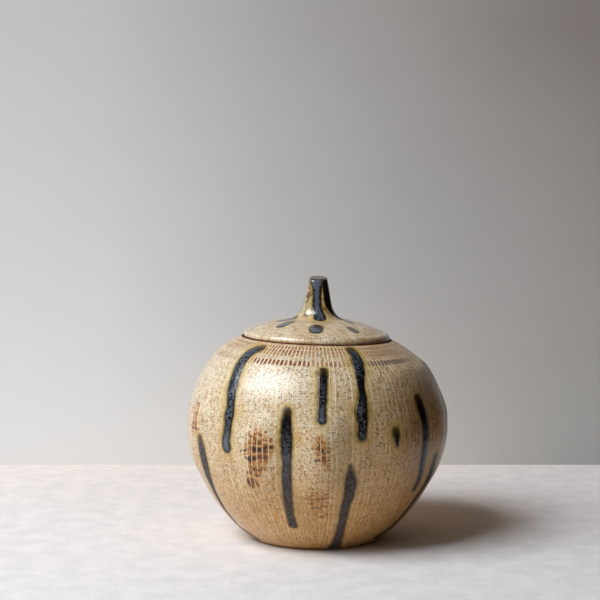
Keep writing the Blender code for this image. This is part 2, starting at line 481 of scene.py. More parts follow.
def profile_line(name, sections, start_section, turn_round=False):
    """A mesh line in the XZ plane. arc is counted from the start of one of the sections."""
    points = [point for section, _, _ in sections for point in section]
    columns = {
        "arc": [0.0],
        "outside": [outside for section, outside, _ in sections for _ in section],
        "glazed": [glazed for section, _, glazed in sections for _ in section],
    }
    for a, b in zip(points, points[1:]):
        columns["arc"].append(columns["arc"][-1] + math.dist(a, b))
    start = columns["arc"][sum(len(section) for section, _, _ in sections[:start_section])]
    columns["arc"] = [length - start for length in columns["arc"]]
    if turn_round:
        for column in (points, *columns.values()):
            column.reverse()
    edges = [(i, i + 1) for i in range(len(points) - 1)]
    return line_object(name, [(radius, 0, height) for radius, height in points], edges, columns)


inside, mouth, outside, foot = pot_profile()
pot_line = profile_line(
    "pot_line",
    [(inside, 0, 1), (mouth[:10], 0, 1), (mouth[10:], 0, 0), (outside, 1, 1), (foot, 0, 0)],
    start_section=3,
)
underside, rim, top = lid_profile()
lid_line = profile_line(
    "lid_line",
    [(underside, 0, 1), (rim[:2], 0, 0), (rim[2:], 1, 1), (top, 1, 1)],
    start_section=2,
    turn_round=True,
)
print("lines made with", len(pot_line.data.vertices), "and", len(lid_line.data.vertices), "points")

# %% [markdown]
# ## Turning the profile with Geometry Nodes
#
# A form turned round an axis follows a rule, so a node tree makes it. A grid gets one row for
# each point of the profile and one column for each step round the axis. Every corner of the grid
# looks up its row's radius and height, and its column says which way it faces. Azimuth is 0 at
# the front and grows towards +X.

# %% Starting a Geometry Nodes tree
def form_tree(name, inputs):
    """A Geometry Nodes tree with a geometry and named values coming in."""
    tree = bpy.data.node_groups.new(name, "GeometryNodeTree")
    interface = tree.interface
    interface.new_socket("Geometry", in_out="INPUT", socket_type="NodeSocketGeometry")
    for label, (kind, default) in inputs.items():
        socket = interface.new_socket(label, in_out="INPUT", socket_type=f"NodeSocket{kind}")
        if default is not None:
            socket.default_value = default
    interface.new_socket("Geometry", in_out="OUTPUT", socket_type="NodeSocketGeometry")
    graph = Graph(tree)
    entry = graph.node("NodeGroupInput", output=None)
    values = {socket.name: Value(graph, socket) for socket in entry.outputs if socket.name}
    return graph, values


def end_tree(graph, geometry, material):
    """Every tree ends with real geometry that carries its material."""
    real = graph.node("GeometryNodeRealizeInstances", None, {0: geometry})
    dressed = graph.node("GeometryNodeSetMaterial", None, {"Geometry": real, "Material": material})
    graph.node("NodeGroupOutput", None, {0: dressed}, output=None)


def add_form(piece, graph, inputs):
    """Puts a tree on an object, and sets its inputs by their identifiers."""
    modifier = piece.modifiers.new(graph.tree.name, "NODES")
    modifier.node_group = graph.tree
    for socket in graph.tree.interface.items_tree:
        if socket.in_out == "INPUT" and socket.name in inputs:
            modifier[socket.identifier] = inputs[socket.name]


# %% The turned grid
def sampled(graph, source, kind, value, row):
    settings = {"data_type": kind, "domain": "POINT"}
    sockets = {"Geometry": source, "Value": value, "Index": row}
    return graph.node("GeometryNodeSampleIndex", settings, sockets)


def named(graph, label):
    return graph.node("GeometryNodeInputNamedAttribute", {"data_type": "FLOAT"}, {"Name": label})


def stored(graph, geometry, label, value):
    settings = {"data_type": "FLOAT", "domain": "POINT"}
    sockets = {"Geometry": geometry, "Name": label, "Value": value}
    return graph.node("GeometryNodeStoreNamedAttribute", settings, sockets)


def turned_grid(graph, values):
    """The grid, and for each of its corners the azimuth, radius and height it should have."""
    profile = values["Geometry"]
    rows = graph.node("GeometryNodeAttributeDomainSize", {"component": "MESH"}, {0: profile})
    columns = values["Sides"] + 1
    sizes = {"Size X": 1, "Size Y": 1, "Vertices X": rows, "Vertices Y": columns}
    grid = graph.node("GeometryNodeMeshGrid", None, sizes)
    index = graph.node("GeometryNodeInputIndex")
    row = (index / columns).maths("FLOOR")
    column = index - row * columns
    azimuth = column / values["Sides"] * math.tau - math.pi
    position = graph.node("GeometryNodeInputPosition")
    radius, _, height = graph.parts(sampled(graph, profile, "FLOAT_VECTOR", position, row))
    for label in ("arc", "outside", "glazed"):
        value = sampled(graph, profile, "FLOAT", named(graph, label), row)
        grid = stored(graph, grid, label, value)
    return grid, azimuth, radius, height


def around(graph, azimuth, radius):
    """X and Y of a point at an azimuth and a radius."""
    return radius * azimuth.maths("SINE"), 0 - radius * azimuth.maths("COSINE")


def placed(graph, grid, x, y, z):
    position = graph.node("ShaderNodeCombineXYZ", None, {0: x, 1: y, 2: z})
    moved = graph.node("GeometryNodeSetPosition", None, {"Geometry": grid, "Position": position})
    sockets = {"Geometry": moved, "Distance": 0.01 * mm}
    return graph.node("GeometryNodeMergeByDistance", None, sockets)


# %% [markdown]
# ## The pushed-out bulges and the leaning mouth
#
# The potter pushed the soft wall out from inside in about a dozen places. Each bulge is a cosine
# hump across and a long flat hump up and down, and moves the inner and the outer wall together.
# The mouth leans a little to the right, and the lean fades out over the shoulder. The bulges at
# the back aren't seen and are made up like those at the front.

# %% The pot's form
belly_bulges = (
    # azimuth in degrees, height share, push share, length share
    (-154, 0.49, 0.60, 0.95),
    (-124, 0.52, 0.75, 1.00),
    (-96, 0.54, 0.50, 0.85),
    (-70, 0.53, 0.60, 0.90),
    (-26, 0.48, 0.75, 0.90),
    (2, 0.48, 0.85, 0.95),
    (38, 0.50, 0.35, 0.80),
    (71, 0.52, 0.60, 1.00),
    (95, 0.50, 0.85, 1.05),
    (121, 0.52, 0.75, 0.95),
    (149, 0.47, 0.65, 0.90),
    (176, 0.50, 0.85, 1.00),
)
bulge_push = 0.0050
bulge_width = 0.0440
bulge_length = 0.0860
bulge_flat_share = 0.36
bulge_roundness = 1.35


def bulge_share(graph, azimuth, height, bulge):
    """One bulge's push at an azimuth and a height, as a share of the deepest push."""
    middle, height_share, push_share, length_share = bulge
    turn = (azimuth - math.radians(middle)).maths("WRAP", math.pi, -math.pi)
    sideways = (abs(turn) * (belly_radius / (bulge_width / 2))).least(1)
    upwards = abs(height - height_share * pot_height) / (length_share * bulge_length / 2)
    across = (sideways * (math.pi / 2)).maths("COSINE") ** bulge_roundness
    return across * graph.ease(upwards, bulge_flat_share, 1, push_share, 0)


def pot_tree(material):
    inputs = {"Sides": ("Int", 72), "Push": ("Float", 0.0), "Lean": ("Float", 0.0)}
    graph, values = form_tree("turned_pot", inputs)
    grid, azimuth, radius, height = turned_grid(graph, values)
    push = graph.number(0.0)
    for bulge in belly_bulges:
        push = bulge_share(graph, azimuth, height, bulge) + push
    in_wall = radius.maths("GREATER_THAN", mouth_radius)
    x, y = around(graph, azimuth, radius + push * in_wall * values["Push"])
    leaning = graph.ease(height, lean_start, inside_top)
    end_tree(graph, placed(graph, grid, x, y, height - x * values["Lean"] * leaning), material)
    return graph


# %% [markdown]
# ## The lid's stem
#
# The stem was pulled with wet fingers, which left four soft ridges, and its top was cut with a
# wire that dipped towards the front. Then the whole lid leans with the mouth that it sits on.

# %% The lid's form
def lid_tree(material):
    inputs = {
        "Sides": ("Int", 56),
        "Ridge": ("Float", 0.0),
        "Cut": ("Float", 0.0),
        "Lean": ("Float", 0.0),
    }
    graph, values = form_tree("turned_lid", inputs)
    grid, azimuth, radius, height = turned_grid(graph, values)
    share = (height - stem_base_height) / stem_height
    ridges = ((azimuth - math.radians(stem_ridge_turn)) * stem_ridges).maths("COSINE")
    start = graph.ease(share, 0, stem_ridge_start_share)
    x, y = around(graph, azimuth, radius * (1 + values["Ridge"] * start * ridges))
    cut = height + y * values["Cut"] * graph.ease(share, stem_cut_start_share, 1)
    grid = stored(graph, grid, "stem", share)
    leaned = x + (cut - seat_height) * values["Lean"]
    end_tree(graph, placed(graph, grid, leaned, y, cut - x * values["Lean"]), material)
    return graph


# %% [markdown]
# ## Where the dark glaze ran
#
# The dark glaze was trailed on in short strokes, and in the kiln it ran down the wall and left
# glossy beads with a drop at the end. Each run is a path of places read off the photograph, with
# the run's width in millimetres and a number for its finish, because one run can start black and
# glossy, turn a mottled blue where the glaze is thicker, and end as matte graphite. Part of that
# mottled blue is painted glints of reflected light.
# The back isn't seen, so its runs are made up in the same manner, by azimuth and height.

# %% Runs seen from the front
seen_runs = (
    # across, down, width in mm, finish: -1 black and glossy, 0 mottled blue, 1 matte
    ((260.4, 347.9, 6.6, 0), (251.4, 351.4, 8, 0), (242.5, 360.4, 8, 0), (237.1, 371, 7.6, 0),
     (233.6, 381.8, 8, 0), (231.8, 390.7, 7.2, 0), (230.4, 405, 7, 0), (229.1, 414, 7.6, 0),
     (227.3, 430, 6.2, 0.15), (225.5, 440.7, 7.2, 0.4), (226.5, 447.5, 7.8, 0.4)),
    ((287.1, 412, 4.6, -0.9), (286.6, 416.7, 5.8, -0.9), (286.3, 430, 7, -0.5),
     (286.6, 440.7, 7.4, -0.25), (286.3, 453, 6.8, -0.25), (286.8, 457, 6.4, 0.4),
     (286.7, 460, 6.2, 0.75), (286.6, 478, 6.3, 0.8), (287.5, 496, 6.3, 0.9), (289.3, 512, 5.8, 1),
     (291.6, 521, 6, 1), (292.9, 525.4, 6.6, 1)),
    ((323.6, 371, 5, -0.9), (323.4, 376.4, 6, -0.8), (322.9, 389, 5.4, -0.4), (322.5, 401.4, 5, 0),
     (322.3, 410.4, 5.2, 0.3), (321.7, 420, 6.4, 0.4)),
    ((350.5, 349.6, 5.6, -0.3), (355.9, 356.8, 6.8, -0.2), (359.5, 369.3, 7.2, -0.3),
     (360.4, 380, 5.6, -0.6), (362, 390.7, 4.4, -0.8), (362.8, 399.6, 5.4, -0.5),
     (362.2, 408.6, 7.4, 0), (361.8, 414.8, 7.6, 0), (363, 424.6, 6.4, 0), (362.8, 431.8, 6.2, 0),
     (362.4, 436, 6, 0)),
    ((350.5, 466.5, 2, 1), (350.5, 476.4, 7, 1), (350.5, 485.4, 9, 1), (348.75, 496, 7.6, 1),
     (345.2, 508.6, 6.4, 1), (342.1, 522.9, 6, 1), (338.9, 535.4, 6.4, 1), (336.3, 544, 7.4, 1),
     (334.5, 546.8, 9, 1)),
    ((418.4, 399, 6.4, -1), (421.1, 406.8, 8, -1), (424.6, 419.3, 8.4, -1), (426.4, 433.6, 8, -1),
     (425.5, 447.9, 7.4, -0.9), (423.2, 462, 7, -0.5), (420.2, 476.4, 6, 0),
     (414.8, 488.9, 4.2, 0.3)),
    ((395.8, 430.5, 3.6, -1), (396.6, 437, 4.2, -1), (397.4, 444.5, 2.4, -1)),
    ((436, 456, 3.6, -0.3), (433, 466, 5.6, -0.5), (430, 475, 6.6, -0.6), (425.5, 484.5, 7, -0.8),
     (420, 493, 7, -0.9), (412.5, 503.5, 6.6, -0.9), (404.5, 514, 6.4, -0.9), (396, 523, 6, -0.9),
     (386.8, 531, 5.4, -0.9), (377.8, 537, 5, -0.9)),
    ((200, 438, 4.6, 1), (201.1, 444.3, 6.6, 1), (203.2, 455, 7.6, 1), (205.9, 467.5, 7.6, 1),
     (209.5, 480, 7.2, 1), (213, 488.9, 6.6, 1), (218.4, 499.6, 6, 1), (223.75, 508.6, 5.4, 1),
     (230, 516.6, 5, 1), (237.5, 525.2, 5, 1), (247.8, 533, 4.8, 1), (257.2, 539, 4.4, 1)),
)
print(len(seen_runs), "runs are read off the photograph")

# %% Runs told by azimuth and height
told_runs = (
    # azimuth in degrees, height and width in mm, finish
    ((81, 133, 3.4, -0.6), (83, 120, 4.8, -0.6), (84, 105, 5, -0.5), (84, 88, 4.6, -0.3),
     (83, 76, 5, 0)),
    ((104, 139.5, 6.6, 0), (106, 128, 7.6, 0), (107, 105, 5.8, 0), (106, 80, 6.2, 0),
     (106, 70, 7.6, 0)),
    ((131, 106, 3, 0), (131, 98, 6.6, 0), (130, 70, 7, 0), (130, 60, 6.6, 0.5), (131, 40, 6, 1),
     (133, 20, 6.6, 1)),
    ((158, 144, 7, 0), (156, 133, 7.8, 0), (155, 110, 6.2, 0), (154, 88, 5.8, 0),
     (154, 78, 7.4, 0)),
    ((178, 90, 2.6, 1), (178, 80, 8, 1), (180, 55, 6.6, 1), (183, 25, 6, 1), (184, 4, 6.6, 1)),
    ((-157, 141, 6.2, 0), (-155, 130, 7.4, 0), (-154, 105, 6, 0), (-154, 90, 7, 0)),
    ((-131, 144, 7, 0), (-133, 133, 7.6, 0), (-134, 100, 6, 0), (-134, 65, 7, 0),
     (-134, 56, 6, 0.6), (-133, 30, 5.6, 1), (-132, 20, 6.6, 1)),
    ((-104, 125, 4, 0), (-104, 115, 6.2, 0), (-103, 90, 5.6, 0), (-103, 79, 7, 0)),
)
print(len(told_runs), "runs are told for the sides and the back")


# %% [markdown]
# ## Spots and strips on the lid
#
# The same dark glaze was dabbed on the lid: a ring of ovals that point at the stem, and strips
# that run down the stem between its ridges.

# %% The dark marks of the lid
seen_strips = (
    # across, down, width in mm, finish
    ((317.4, 278, 11, 0.3), (317.2, 284.5, 8.6, 0.35), (317, 291, 6.2, 0.35),
     (316.9, 300, 6.4, 0.4), (317.4, 310, 7.2, 0.3), (319.8, 316.8, 9.2, 0.05)),
    ((325, 278, 8, -1), (328, 289, 9.6, -1), (330.4, 302.7, 10, -1), (333, 310, 8, -0.9),
     (338.5, 316.4, 7.2, -0.8), (345, 319.6, 7, -0.7), (350.6, 322, 5.4, -0.6)),
)
seen_ovals = (
    # across, down, half length and width in mm
    (316, 328.2, 3, 9.6),
    (285.7, 323.2, 4.6, 7),
    (353, 329.3, 2.8, 4.8),
    (287, 318.9, 3.6, 9),
)
told_ovals = (
    # azimuth in degrees, distance from the axis, half length and width in mm
    (135, 36, 3.2, 8),
    (178, 35, 3, 9),
)
told_strips = (
    # azimuth in degrees, height and width in mm, finish
    ((178, 192, 5, 0), (178, 182, 5.6, 0), (180, 172, 5.6, 0), (182, 167, 8, 0)),
    ((-94, 190, 4, 0), (-96, 180, 4.6, 0), (-98, 170, 5.6, 0)),
)


# %% [markdown]
# ## Guides that the node tree can follow
#
# The places become open lines that lie on the clay, one line for each run, with half the run's
# width and its finish stored on every point.

# %% Places on the clay
def facing(tree, azimuth, height):
    """The point of a surface at an azimuth in degrees and a height."""
    turn = math.radians(azimuth)
    outwards = Vector((math.sin(turn), -math.cos(turn), 0))
    reach = 2 * belly_radius
    place, _, _, _ = tree.ray_cast(outwards * reach + Vector((0, 0, height)), -outwards)
    return place


def from_above(tree, x, y):
    """The highest point of a surface over x and y."""
    return tree.ray_cast(Vector((x, y, 1)), Vector((0, 0, -1)))[0]


def oval(middle, half_length, width):
    """A short line on the lid through a place, pointing at the axis. Its sizes are in mm."""
    outwards = Vector((middle.x, middle.y, 0)).normalized() * (half_length * mm)
    ends = (middle - outwards, middle + outwards)
    return [(from_above(clay["lid"], end.x, end.y), width * mm, 0.3) for end in ends]


def seen_lines(name, lines):
    """Lines told by pixels, as places on a piece with a width in metres."""
    return [[(seen_at(clay[name], x, y), w * mm, m) for x, y, w, m in line] for line in lines]


def told_lines(name, lines):
    """Lines told by azimuth and height, as places on a piece with a width in metres."""
    return [[(facing(clay[name], a, z * mm), w * mm, m) for a, z, w, m in line] for line in lines]


pot_guides = seen_lines("pot", seen_runs) + told_lines("pot", told_runs)
lid_guides = seen_lines("lid", seen_strips) + told_lines("lid", told_strips)
lid_guides += [oval(seen_at(clay["lid"], x, y), *sizes) for x, y, *sizes in seen_ovals]
for azimuth, radius, *sizes in told_ovals:
    turn = math.radians(azimuth)
    middle = Vector((math.sin(turn), -math.cos(turn), 0)) * (radius * mm)
    lid_guides.append(oval(middle, *sizes))
print(len(pot_guides), "guides on the pot and", len(lid_guides), "on the lid")


# %% Guides as objects
def guide_object(name, guides):
    """Open lines with half_width and matte on their points."""
    places, edges, columns = [], [], {"half_width": [], "matte": []}
    for guide in guides:
        edges += [(len(places) + i, len(places) + i + 1) for i in range(len(guide) - 1)]
        places += [place for place, _, _ in guide]
        columns["half_width"] += [width / 2 for _, width, _ in guide]
        columns["matte"] += [matte for _, _, matte in guide]
    return line_object(name, places, edges, columns)


pot_run_guide = guide_object("pot_run_guide", pot_guides)
lid_run_guide = guide_object("lid_run_guide", lid_guides)
print("guide points:", len(pot_run_guide.data.vertices), len(lid_run_guide.data.vertices))

# %% [markdown]
# ## Rust patches
#
# On the crests of some bulges the glaze broke thin and the iron came through as rusty patches.
# They are guides too: a line up the middle of the patch, with its width. Those on the sides and
# at the back aren't seen and are made up.

# %% The patches of the pot
seen_patches = (
    # across, down, width in mm, strength
    ((255, 424, 14, 0.5), (258, 440, 28, 0.9), (257, 450, 32, 1), (258, 464, 28, 0.9),
     (252, 484, 14, 0.9)),
    ((276, 472, 12, 0.5), (270, 478, 12, 0.5)),
    ((321, 436, 10, 0.7), (321, 448, 14, 1), (326, 464, 14, 0.7)),
    ((318, 500, 24, 0.75), (327, 516, 20, 0.6)),
    ((198, 404, 10, 0.8), (195, 430, 12, 0.9)),
    ((410, 488, 18, 0.6), (404, 500, 14, 0.4)),
    ((396, 430, 8, 0.55), (397, 446, 8, 0.55)),
    ((407, 440, 14, 0.5), (406, 462, 14, 0.4)),
    ((415, 404, 10, 0.4), (417, 424, 16, 0.7), (418, 448, 16, 0.7), (413, 478, 14, 0.5)),
    ((433, 412, 14, 0.6), (434, 436, 14, 0.7)),
)
told_patches = (
    # azimuth in degrees, height and width in mm, strength
    ((118, 96, 14, 0.7), (120, 78, 20, 0.9), (122, 66, 12, 0.6)),
    ((148, 50, 14, 0.5), (149, 40, 12, 0.4)),
    ((174, 100, 12, 0.7), (176, 88, 18, 0.9)),
    ((-154, 76, 18, 0.8), (-152, 56, 12, 0.7)),
    ((-120, 98, 16, 0.8), (-121, 80, 12, 0.7)),
)
patches = seen_lines("pot", seen_patches) + told_lines("pot", told_patches)
patch_guide = guide_object("patch_guide", patches)
print(len(patches), "patches of rust")

# %% Dark strokes in the patches
seen_strokes = (
    # across, down, width in mm, strength
    ((251.5, 448, 3, 0.9), (256, 449.5, 4.4, 1), (263, 449, 3.4, 0.7), (274, 447, 3.6, 1)),
    ((240, 451, 2, 0.6), (246, 450, 2.6, 0.8), (250, 446, 2, 0.5)),
    ((246, 458, 3.6, 0.6), (251, 459, 4.8, 0.9), (257, 458, 3, 0.5)),
    ((268, 452, 1.6, 0.7), (276, 451, 2, 0.8)),
    ((259, 440, 2.2, 0.6), (264, 439.5, 2.4, 0.7), (272, 440, 2, 0.5)),
    ((247, 443, 1.6, 0.8), (252, 436, 1.8, 0.6)),
    ((248, 468, 3.6, 0.5), (254, 469, 4, 0.6)),
    ((246, 478, 3, 0.6), (250, 483, 4.4, 0.7), (252, 486, 3.6, 1)),
    ((266, 471, 1.8, 0.5), (278, 469, 2, 0.5)),
    ((268, 478, 1.8, 0.6), (279, 476, 1.8, 0.5)),
    ((254.2, 422, 1.6, 1), (254.8, 424.5, 1.8, 1)),
    ((252, 437, 1.6, 0.7), (254, 431, 1.2, 0.5)),
    ((321.5, 440, 2.4, 0.8), (320, 446, 3, 0.9), (322, 452, 3, 0.8)),
    ((326, 442, 2, 0.7), (327, 450, 2.4, 0.8), (325, 455, 2, 0.6)),
    ((316, 460, 2, 0.6), (323, 462, 2.4, 0.6), (329, 460, 1.8, 0.4)),
    ((308, 486.5, 1.2, 0.4), (320, 485.5, 1.2, 0.6), (332, 486, 1, 0.4)),
    ((192.5, 427.5, 2.4, 1), (197, 428.5, 2.4, 0.9)),
    ((194, 415, 2.4, 0.5), (197, 411, 2.4, 0.6)),
    ((193, 434, 1.6, 0.5), (197, 434, 1.6, 0.5)),
    ((402, 499, 1.6, 0.4), (408, 496, 1.8, 0.5)),
)
told_strokes = (
    # azimuth in degrees, height and width in mm, strength
    ((113, 88, 3.6, 0.8), (118, 89, 4.4, 1), (124, 88.5, 3.4, 0.9)),
    ((114, 80, 3, 0.6), (121, 79.5, 4.4, 0.9)),
    ((117, 70, 3, 0.7), (122, 69, 3.6, 0.8)),
    ((145, 45, 2.4, 0.6), (151, 44.5, 2.4, 0.5)),
    ((170, 95, 3.4, 0.8), (177, 94.5, 4, 1)),
    ((172, 87, 3, 0.7), (179, 87.5, 4, 0.9)),
    ((-158, 74, 3, 0.7), (-150, 73.5, 4, 0.9)),
    ((-156, 64, 3, 0.6), (-151, 64.5, 3, 0.8)),
    ((-124, 96, 3, 0.8), (-117, 95.5, 3.6, 0.9)),
    ((-123, 86, 2.4, 0.6), (-118, 86.5, 3, 0.8)),
)
strokes = seen_lines("pot", seen_strokes) + told_lines("pot", told_strokes)
stroke_guide = guide_object("stroke_guide", strokes)
print(len(strokes), "strokes of rust")


# %% [markdown]
# ## Glaze that follows the guides
#
# A second tree finds, for every corner of the surface, the nearest point of a guide. The distance
# to it, less half the run's width, is the run's signed edge distance: negative on the run and
# positive off it. It raises a rounded bead of glaze, and the material reads the same number for
# the run's colour and for the halo that bled out of it. A little noise keeps the edges from
# being drawn with a ruler.

# %% The runs tree
fine_step = 0.4 * mm
coarse_step = 1 * mm
full_bead_width = 3.5 * mm


def follow(graph, guide, position, spacing):
    """The distance to the nearest point of a guide, and what is stored there."""
    source = graph.node("GeometryNodeObjectInfo", None, {"Object": guide}, "Geometry")
    curve = graph.node("GeometryNodeMeshToCurve", None, {0: source})
    smooth = graph.node("GeometryNodeCurveSplineType", {"spline_type": "CATMULL_ROM"}, {0: curve})
    evenly_spaced = {"Curve": smooth, "Length": spacing}
    fine = graph.node("GeometryNodeResampleCurve", {"mode": "LENGTH"}, evenly_spaced)
    travelled = graph.node("GeometryNodeSplineParameter", output="Length")
    fine = stored(graph, fine, "along", travelled)
    points = graph.node("GeometryNodeCurveToPoints", {"mode": "EVALUATED"}, {0: fine})
    nearest = graph.node("GeometryNodeSampleNearest", {"domain": "POINT"}, {0: points})
    here = graph.node("GeometryNodeInputPosition")
    there = sampled(graph, points, "FLOAT_VECTOR", here, nearest)
    between = {0: position, 1: there}
    distance = graph.node("ShaderNodeVectorMath", {"operation": "DISTANCE"}, between, "Value")
    labels = ("half_width", "matte", "along")
    return distance, *(sampled(graph, points, "FLOAT", named(graph, n), nearest) for n in labels)


def glazing_tree(name, material):
    inputs = {
        "Runs": ("Object", None),
        "Patches": ("Object", None),
        "Strokes": ("Object", None),
        "Bead": ("Float", 0.0),
        "Sink": ("Float", 0.0),
        "Edge Wobble": ("Float", 0.0),
    }
    graph, values = form_tree(name, inputs)
    position = graph.node("GeometryNodeInputPosition")
    wobble = (graph.noise(position, 260, 2) - 0.5) * values["Edge Wobble"]
    distance, width, matte, along = follow(graph, values["Runs"], position, fine_step)
    gap = distance - width + wobble
    away, half, strength, _ = follow(graph, values["Patches"], position, coarse_step)
    patch = graph.ease(away / half, 1.35, 0.20) * strength
    away, half, darkness, _ = follow(graph, values["Strokes"], position, fine_step)
    stroke = graph.ease(away / half, 1.5, 0.3) * darkness
    outside = named(graph, "outside")
    crown = 1 - (gap / width + 1).most(0).least(1) ** 2
    thinned = values["Bead"] * (1 - matte.most(0) * 0.55) * (width / full_bead_width).least(1)
    relief = (crown * thinned * graph.ease(along, 0, 0.012) - values["Sink"]) * outside
    normal = graph.node("GeometryNodeInputNormal")
    scaled = {0: normal, "Scale": relief}
    offset = graph.node("ShaderNodeVectorMath", {"operation": "SCALE"}, scaled)
    glazed = values["Geometry"]
    marks = {"run_gap": gap, "run_matte": matte, "run_along": along}
    marks.update({"patch": patch, "stroke": stroke})
    for label, value in marks.items():
        glazed = stored(graph, glazed, label, value)
    raised = graph.node("GeometryNodeSetPosition", None, {"Geometry": glazed, "Offset": offset})
    smooth = graph.node("GeometryNodeSetShadeSmooth", None, {"Geometry": raised})
    end_tree(graph, smooth, material)
    return graph


# %% [markdown]
# ## What a glaze pattern is placed by
#
# Every pattern below is a sum over a few numbers: the place in the piece's own space, the
# azimuth round the axis, and the distance along the clay from the lip, which was stored while
# the profile was turned. Seen up close the jar's colour has layers, and each gets a function:
# a ground colour from cream to a darker ochre towards the foot, light lines where the comb left the
# clay high, brown bands where iron was brushed on, rust, iron specks, and the dark runs with their
# halo.

# %% Colours
def rgb(red, green, blue):
    """A colour given as it looks on a screen, from 0 to 255, as Blender wants it: linear."""
    shares = [value / 255 for value in (red, green, blue)]
    linear = [v / 12.92 if v < 0.04045 else ((v + 0.055) / 1.055) ** 2.4 for v in shares]
    return (*linear, 1)


cream = rgb(217, 208, 182)
ochre = rgb(206, 166, 102)
shoulder_gold = rgb(196, 146, 80)
blush_gold = rgb(200, 162, 84)
dapple_brown = rgb(170, 127, 50)
ring_brown = rgb(160, 108, 58)
side_tint = rgb(255, 241, 224)
comb_light = rgb(242, 232, 208)
band_brown = rgb(130, 64, 0)
band_dark = rgb(40, 14, 0)
band_orange = rgb(142, 84, 6)
rust_wash = rgb(186, 124, 30)
rust = rgb(140, 82, 18)
rust_dark = rgb(26, 10, 3)
speck_brown = rgb(34, 18, 10)
fine_speck_brown = rgb(70, 40, 18)
straw = rgb(204, 172, 98)
olive = rgb(138, 116, 38)
halo_edge = rgb(56, 42, 18)
run_black = rgb(8, 8, 10)
# The runs' blue-greys are partly the glaze's colour and partly painted glints and sheen of
# reflected light.
run_blue_and_glints = rgb(84, 92, 104)
run_satin_and_sheen = rgb(95, 104, 118)
run_thin = rgb(58, 36, 18)
dull_edge = rgb(52, 37, 33)
dull_core = (rgb(50, 46, 49), rgb(84, 84, 93))
bare_clay = (rgb(138, 106, 82), rgb(168, 134, 104))
lid_tan = rgb(202, 176, 138)
lid_dapple = rgb(172, 128, 60)
lid_ring_brown = rgb(148, 98, 42)
stem_gold = rgb(188, 162, 96)
stem_streaks = (rgb(178, 162, 122), rgb(92, 68, 34))
stem_top_black = rgb(20, 20, 24)
rim_brown = rgb(132, 72, 32)
print("colours ready")


# %% Where on the clay
class Spot:
    """The numbers that patterns are placed by, for one material."""

    def __init__(self, graph):
        self.graph = graph
        self.place = graph.node("ShaderNodeTexCoord", output="Object")
        x, y, self.height = graph.parts(self.place)
        self.azimuth = x.maths("ARCTAN2", 0 - y)
        self.arc = graph.attribute("arc")
        self.outside = graph.attribute("outside")
        self.glazed = graph.attribute("glazed")
        self.gap = graph.attribute("run_gap")
        finish = graph.attribute("run_matte")
        self.matte = finish.most(0)
        self.black = (0 - finish).most(0)
        self.along = graph.attribute("run_along")
        self.patch = graph.attribute("patch")
        self.stroke = graph.attribute("stroke")


# %% [markdown]
# ## Comb lines
#
# A comb or a stiff brush was drawn down the wet wall, so light lines run from lid to foot like
# meridians. Their number is a whole number round the jar, so they meet at the back. Each line
# has its own strength, from a random number that depends only on which line it is.

# %% Light lines round the jar
comb_count = 150
comb_sway = 2.0


def comb_turns(spot, count, sway):
    """Counts lines round the jar. The whole part tells which line it is."""
    swaying = (spot.graph.noise(spot.place, 14, 2) - 0.5) * sway
    return spot.azimuth * (count / math.tau) + swaying


def ring_turns(spot, spacing):
    """Counts level rings along the clay."""
    return spot.arc / spacing + (spot.graph.noise(spot.place, 18, 2) - 0.5) * 0.9


def nearness(turns):
    """1 in the middle of a line, 0 between two lines."""
    return 1 - abs(turns.maths("FRACT") * 2 - 1)


def comb_lines(spot, count, width, sway, strongest):
    """Light lines like meridians: 1 on a strong line, 0 between lines."""
    graph = spot.graph
    turns = comb_turns(spot, count, sway)
    luck = graph.chance("1D", W=turns.maths("FLOOR"))
    strength = graph.ease(luck, 0.20, 1, 0.25, strongest)
    worn = graph.ease(graph.noise(spot.place, 130, 3, 0.6), 0.36, 0.54, 0.35, 1)
    return graph.ease(nearness(turns), 1 - width, 1 - width * 0.25) * strength * worn


def comb_cut(spot, count, width, sway):
    """The same lines with no wear: 1 where the comb cut right through a brown band."""
    middle = nearness(comb_turns(spot, count, sway))
    return spot.graph.ease(middle, 1 - width, 1 - width * 0.4)


def weave(spot, count, spacing):
    """A random number for each small field between two comb lines and two rings."""
    graph = spot.graph
    column = comb_turns(spot, count, comb_sway).maths("FLOOR")
    level = (spot.arc / spacing + graph.noise(spot.place, 18, 2) * 0.9).maths("FLOOR")
    field = graph.node("ShaderNodeCombineXYZ", None, {0: column, 1: level})
    return graph.chance("2D", Vector=field)


def rings(spot, spacing, width, wear_scale):
    """Fine level lines left by the turning wheel, counted along the clay."""
    graph = spot.graph
    worn = graph.ease(graph.noise(spot.place, wear_scale, 2), 0.38, 0.65)
    return graph.ease(nearness(ring_turns(spot, spacing)), 1 - width, 1) * worn


# %% [markdown]
# ## Iron specks
#
# Iron in the clay burns through the glaze as dark specks of about half a millimetre. Voronoi
# cells scatter them, and each cell's own random colour decides how large its speck is.

# %% Specks
def specks(spot, spacing, largest):
    """1 on a speck. Sizes run from nothing up to largest, the radius in metres."""
    graph = spot.graph
    scale = 1 / spacing
    cells = graph.node("ShaderNodeTexVoronoi", None, {"Vector": spot.place, "Scale": scale}, None)
    distance = Value(graph, cells.outputs["Distance"])
    luck, _, _ = graph.parts(Value(graph, cells.outputs["Color"]))
    radius = (luck * 0.75 + 0.25) * (largest * scale)
    return graph.ease(distance, radius, radius * 0.7)


# %% [markdown]
# ## Brown bands
#
# Under the lid iron brown was brushed round the shoulder while the pot turned. The comb then cut
# through it, so each band is a row of short dashes. The bands' places are measured: the pixel
# gives a point on the clay, and the point gives its distance from the lip along the profile.

# %% Distance from the lip
def arc_at(across, down):
    """Distance along the clay from the lip to the place seen at a pixel of the pot."""
    place = seen_at(clay["pot"], across, down)
    seen = (math.hypot(place.x, place.y), place.z + place.x * lean_slope)
    arcs = pot_line.data.attributes["arc"].data
    points = [(vertex.co.x, vertex.co.z) for vertex in pot_line.data.vertices]
    return arcs[min(range(len(points)), key=lambda i: math.dist(points[i], seen))].value


